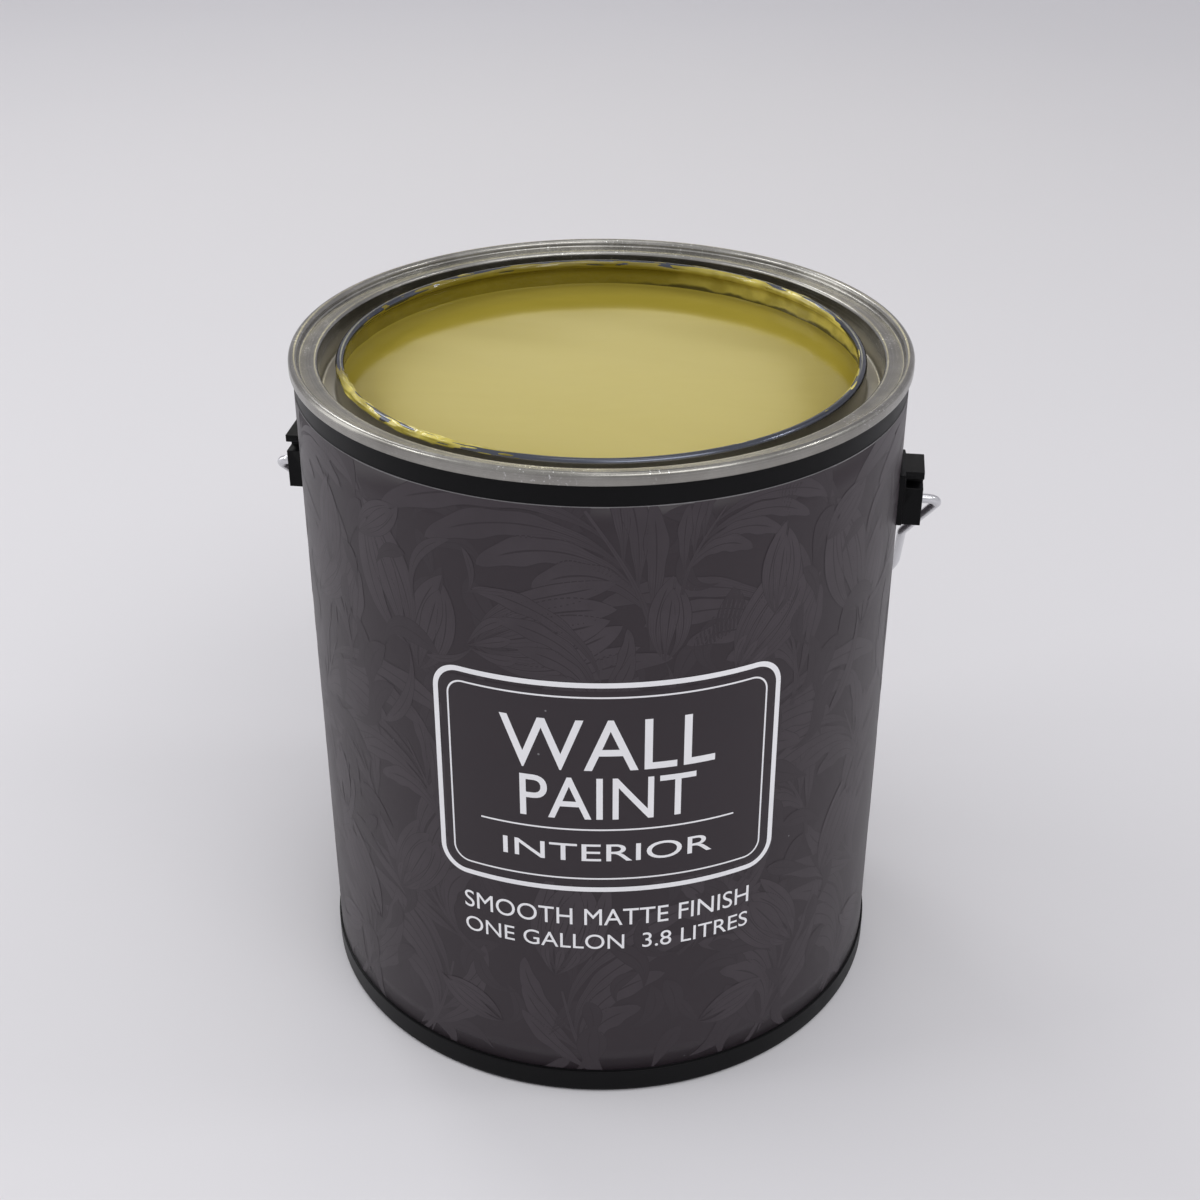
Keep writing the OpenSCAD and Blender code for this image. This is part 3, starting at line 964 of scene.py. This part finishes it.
def make_label_edge():
    """A painted highlight along the label's top edge, a thin pale line."""
    # painted highlight: a pale strip along the label's top edge
    edge_highlight = Print("label_edge_highlight", 0.006)
    half_turn = math.pi * LABEL_R - LABEL_HALF_SLIT
    height = label_high[2] - 0.14
    spine = line((-half_turn, height), (half_turn, height), step=2.0)
    spine[:, 0] += (-math.pi / 2 - FRONT) * LABEL_R    # its ends meet where the paper's do
    edge_highlight.strip(spine, np.full(len(spine), 0.26 / 2), 3)
    return edge_highlight.piece()


def make_words(name, text, height, width, z):
    """A line of capitals centred on the front at the height z, fitted to a cap height and a width.
    The flat letters are cut into narrow columns so that they bend round the can."""
    curve = bpy.data.curves.new(name, "FONT")
    curve.body, curve.align_x, curve.size = text, "CENTER", 1.0
    curve.extrude, curve.resolution_u = 0.001, 6
    draft = bpy.data.objects.new(name, curve)
    bpy.context.scene.collection.objects.link(draft)
    bpy.context.view_layer.update()
    ready = draft.evaluated_get(bpy.context.evaluated_depsgraph_get())
    mesh = bpy.data.meshes.new_from_object(ready)
    bpy.data.objects.remove(draft)
    mesh.name = name
    work = bmesh.new()
    work.from_mesh(mesh)
    bmesh.ops.remove_doubles(work, verts=work.verts, dist=1e-6)
    xs = [v.co.x for v in work.verts]
    ys = [v.co.y for v in work.verts]
    low, high, bottom, top = min(xs), max(xs), min(ys), max(ys)
    column = 0.9
    for cut in np.arange(low, high, (high - low) / (width / column))[1:]:
        bmesh.ops.bisect_plane(work, geom=work.verts[:] + work.edges[:] + work.faces[:],
                               plane_co=(cut, 0, 0), plane_no=(1, 0, 0))
    bmesh.ops.triangulate(work, faces=work.faces[:])
    co = np.array([v.co for v in work.verts])
    s = (co[:, 0] - (low + high) / 2) * width / (high - low)
    heights = z + (co[:, 1] - bottom) * height / (top - bottom)
    lift = np.where(co[:, 2] > 0, INK_LIFT + 0.02, INK_LIFT - 0.02)
    for vert, place in zip(work.verts, wrap(s, heights, lift) * MM):
        vert.co = place
    work.to_mesh(mesh)
    work.free()
    mesh.materials.clear()
    piece = bpy.data.objects.new(name, mesh)
    bpy.context.scene.collection.objects.link(piece)
    return piece


# ---------------------------------------------------------------- studio

def make_stage():
    """A pale sheet that lies flat under the can and curves up far behind it."""
    turn = np.radians(np.linspace(5, 90, 18))
    y = np.concatenate([np.linspace(-3000, 1500, 24), 1500 + 900 * np.sin(turn), [2400, 2400]])
    z = np.concatenate([np.zeros(24), 900 - 900 * np.cos(turn), [1500, 3200]])
    x = np.linspace(-3500, 3500, 12)
    points = np.stack(np.broadcast_arrays(x[:, None], y[None, :], z[None, :]), 2)
    piece = surface("studio_sweep", points)
    s = Shader("sweep_paper")
    soft = s.noise(s.place(), 3.0, 2.0)
    piece.data.materials.append(s.finish(
        Base_Color=s.mix(soft, (0.71, 0.702, 0.722), (0.73, 0.722, 0.742)), Roughness=0.75))


def area_light(name, place, target, size, power, colour=(1, 1, 1), shape="RECTANGLE"):
    """A soft lamp at place, aimed at target, in metres and watts."""
    data = bpy.data.lights.new(name, "AREA")
    data.shape, data.size, data.size_y = shape, size[0], size[1]
    data.energy, data.color = power, colour
    lamp = bpy.data.objects.new(name, data)
    bpy.context.scene.collection.objects.link(lamp)
    lamp.location = place
    ahead = Vector(target) - Vector(place)
    lamp.rotation_euler = ahead.to_track_quat("-Z", "Y").to_euler()


def make_lights():
    """An even pale surround, and lamps for the ring's edges, the floor and the paint's shine."""
    world = bpy.data.worlds.new("studio")
    world.use_nodes = True
    background = world.node_tree.nodes["Background"]
    background.inputs["Color"].default_value = (0.97, 0.965, 1.0, 1)
    background.inputs["Strength"].default_value = 0.66
    bpy.context.scene.world = world
    area_light("key_back_left", (-1.0, 1.1, 1.5), (0, 0, 0.1), (0.5, 0.4), 4.2)
    area_light("side_left", (-1.3, 0.1, 0.6), (0, 0, 0.1), (0.6, 1.0), 2.8)
    area_light("high_left", (-1.14, -0.37, 1.25), (0, 0, 0.19), (0.34, 0.14), 2.4)
    area_light("high_right", (1.29, 0.18, 1.2), (0, 0, 0.19), (0.26, 0.07), 1.8)
    area_light("floor_front", (0.6, -0.8, 1.3), (0.45, -0.55, 0.0), (0.9, 0.7), 6.0)
    area_light("overhead", (0.05, 0.0, 1.35), (0, 0, 0.1), (0.5, 0.5), 0.9)
    area_light("paint_card", (-0.162, 1.130, 0.696), (0, 0, 0.185), (0.405, 0.180), 0.37,
               (1.0, 0.92, 0.54), "ELLIPSE")
    bpy.context.scene.view_settings.view_transform = "Standard"


def make_camera():
    """A 54 mm lens at 0.59 m, looking 30 degrees down, with the right ear nearer."""
    distance, offset, height, pitch = 0.4565, -0.00035, 0.3761, math.radians(29.92)
    data = bpy.data.cameras.new("camera")
    data.sensor_fit, data.sensor_width, data.lens = "HORIZONTAL", 36.0, 53.79
    camera = bpy.data.objects.new("camera", data)
    bpy.context.scene.collection.objects.link(camera)
    c, s = math.cos(VIEW_TURN), math.sin(VIEW_TURN)
    camera.location = (c * offset + s * distance, s * offset - c * distance, height)
    camera.rotation_euler = (math.pi / 2 - pitch, 0, VIEW_TURN)
    bpy.context.scene.camera = camera


# ---------------------------------------------------------------- the scene

def dress(piece, materials, body, replaced=()):
    """Gives a piece its materials, its body and the CAD nodes that it stands for."""
    for material in materials:
        piece.data.materials.append(material)
    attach(piece, body)
    if replaced:
        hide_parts(*replaced)


make_camera()
make_stage()
make_lights()

plastic = moulded_plastic()
paper = label_paper()
core_and_highlight = paper_core_and_edge_highlight()
ink = silver_ink()
sprig_print = printed_leaf("sprig_print", (0.0315, 0.0238, 0.0292), (0.0252, 0.0183, 0.0229))
leaf_print = printed_leaf("leaf_print", (0.0450, 0.0358, 0.0424), (0.0248, 0.0180, 0.0226))
petal_print = printed_leaf("petal_print", (0.0482, 0.0385, 0.0455), (0.0242, 0.0176, 0.0220))
surface_paint = wet_paint("surface_paint", (0.300, 0.240, 0.032), (0.338, 0.272, 0.041), 0.10)
# the film's last colour is its painted light, at the right and over the front-left smear
film_paint = wet_paint("film_paint", (0.15, 0.115, 0.004), (0.24, 0.190, 0.012), 0.05,
                       (0.66, 0.56, 0.11))

dress(make_body(), [plastic], "can", ["body_shell"])
ring, ring_metal = make_ring()
dress(ring, [ring_metal], "can", ["top_ring"])
dress(make_paint(), [surface_paint], "can", ["paint"])
dress(make_film(), [film_paint], "can")
dress(make_label(), [paper, core_and_highlight], "can", ["wrap_label"])
dress(make_bail(), [zinc_wire()], "bail", ["bail_wire"])
for side in ("left", "right"):
    ear = make_ear("ear_" + side, "bail_ear_" + side)
    dress(ear, [plastic], "can", ["ear_" + side])
for piece, material in zip(make_floral(), (sprig_print, leaf_print, petal_print)):
    dress(piece, [material], "can")
dress(make_panel(), [paper], "can")
dress(make_label_edge(), [core_and_highlight], "can")
dress(make_frame(), [ink], "can")
for words in (
        ("word_wall", "WALL", 15.5, 56.0, 111.0),
        ("word_paint", "PAINT", 13.0, 46.0, 95.8),
        ("word_interior", "INTERIOR", 5.6, 56.0, 82.2),
        ("word_matte", "SMOOTH MATTE FINISH", 5.6, 80.0, 60.6),
        ("word_volume", "ONE GALLON  3.8 LITRES", 5.0, 80.0, 52.4)):
    dress(make_words(*words), [ink], "can")

frame["nodes"]["seam_gasket"].data.materials.clear()
frame["nodes"]["seam_gasket"].data.materials.append(seam_compound())
